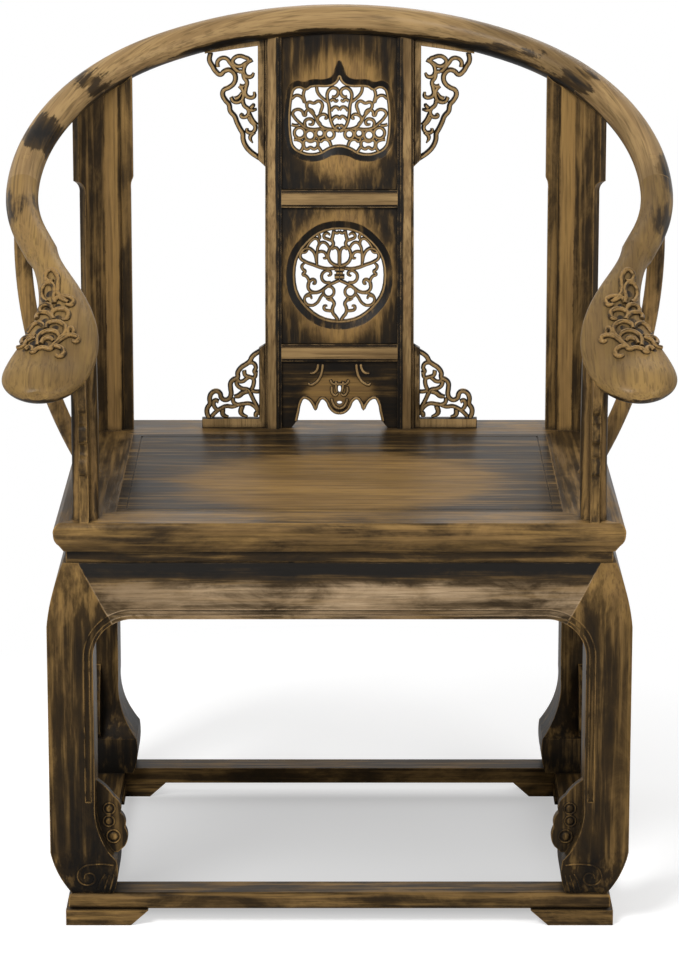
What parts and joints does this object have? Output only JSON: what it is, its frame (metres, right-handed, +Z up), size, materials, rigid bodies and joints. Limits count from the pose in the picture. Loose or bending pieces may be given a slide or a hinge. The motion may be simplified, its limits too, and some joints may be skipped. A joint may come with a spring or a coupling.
{
  "type": "horseshoe back armchair",
  "caption": "Low-backed wooden armchair with a round horseshoe rail, flat outward hand-rests, an openwork splat and corner spandrels, waisted seat and inward hoof legs on a floor frame.",
  "frame": {"origin": "on the floor, below the middle of the whole chair, which is also the middle of the seat", "axes": "+Z up along the chair's height, +Y towards the back rest, +X to the right of someone who looks at the chair from the front"},
  "size_m": [0.784, 0.6025, 1.0015],
  "materials": {
    "worn_rail": "satin lacquer worn through to pale wood",
    "dark_lacquer": "black lacquer, semi-gloss, worn at the edges",
    "worn_panel": "satin lacquer worn in the middle",
    "worn_lacquer": "satin dark lacquer worn to brown wood"
  },
  "bodies": {
    "root": {"back_apron": "worn_lacquer", "back_left_leg": "worn_lacquer", "back_left_post": "worn_lacquer", "back_right_leg": "worn_lacquer", "back_right_post": "worn_lacquer", "back_waist": "worn_lacquer", "base_back_rail": "worn_lacquer", "base_front_rail": "worn_lacquer", "base_left_rail": "worn_lacquer", "base_right_rail": "worn_lacquer", "crest_left_shoulder": "worn_rail", "crest_rail_center": "worn_rail", "crest_right_shoulder": "worn_rail", "foot_back_left": "worn_lacquer", "foot_back_right": "worn_lacquer", "foot_front_left": "worn_lacquer", "foot_front_right": "worn_lacquer", "front_apron": "worn_lacquer", "front_left_leg": "worn_lacquer", "front_left_post": "worn_lacquer", "front_left_spandrel": "worn_lacquer", "front_right_leg": "worn_lacquer", "front_right_post": "worn_lacquer", "front_right_spandrel": "worn_lacquer", "front_waist": "worn_lacquer", "inner_left_spandrel": "worn_lacquer", "inner_right_spandrel": "worn_lacquer", "left_apron": "worn_lacquer", "left_arm": "worn_rail", "left_side_brace": "worn_lacquer", "left_waist": "worn_lacquer", "leg_spurs": "worn_lacquer", "lower_left_corner": "dark_lacquer", "lower_right_corner": "dark_lacquer", "outer_left_spandrel": "worn_lacquer", "outer_right_spandrel": "worn_lacquer", "right_apron": "worn_lacquer", "right_arm": "worn_rail", "right_side_brace": "worn_lacquer", "right_waist": "worn_lacquer", "scarf_wedges": "dark_lacquer", "seat_back_rail": "worn_lacquer", "seat_front_rail": "worn_lacquer", "seat_left_batten": "worn_lacquer", "seat_left_rail": "worn_lacquer", "seat_panel": "worn_panel", "seat_right_batten": "worn_lacquer", "seat_right_rail": "worn_lacquer", "splat_left_stile": "dark_lacquer", "splat_lower_panel": "dark_lacquer", "splat_lower_rail": "dark_lacquer", "splat_middle_panel": "dark_lacquer", "splat_right_stile": "dark_lacquer", "splat_upper_panel": "dark_lacquer", "splat_upper_rail": "dark_lacquer", "upper_left_corner": "dark_lacquer", "upper_right_corner": "dark_lacquer"}
  },
  "joints": []
}
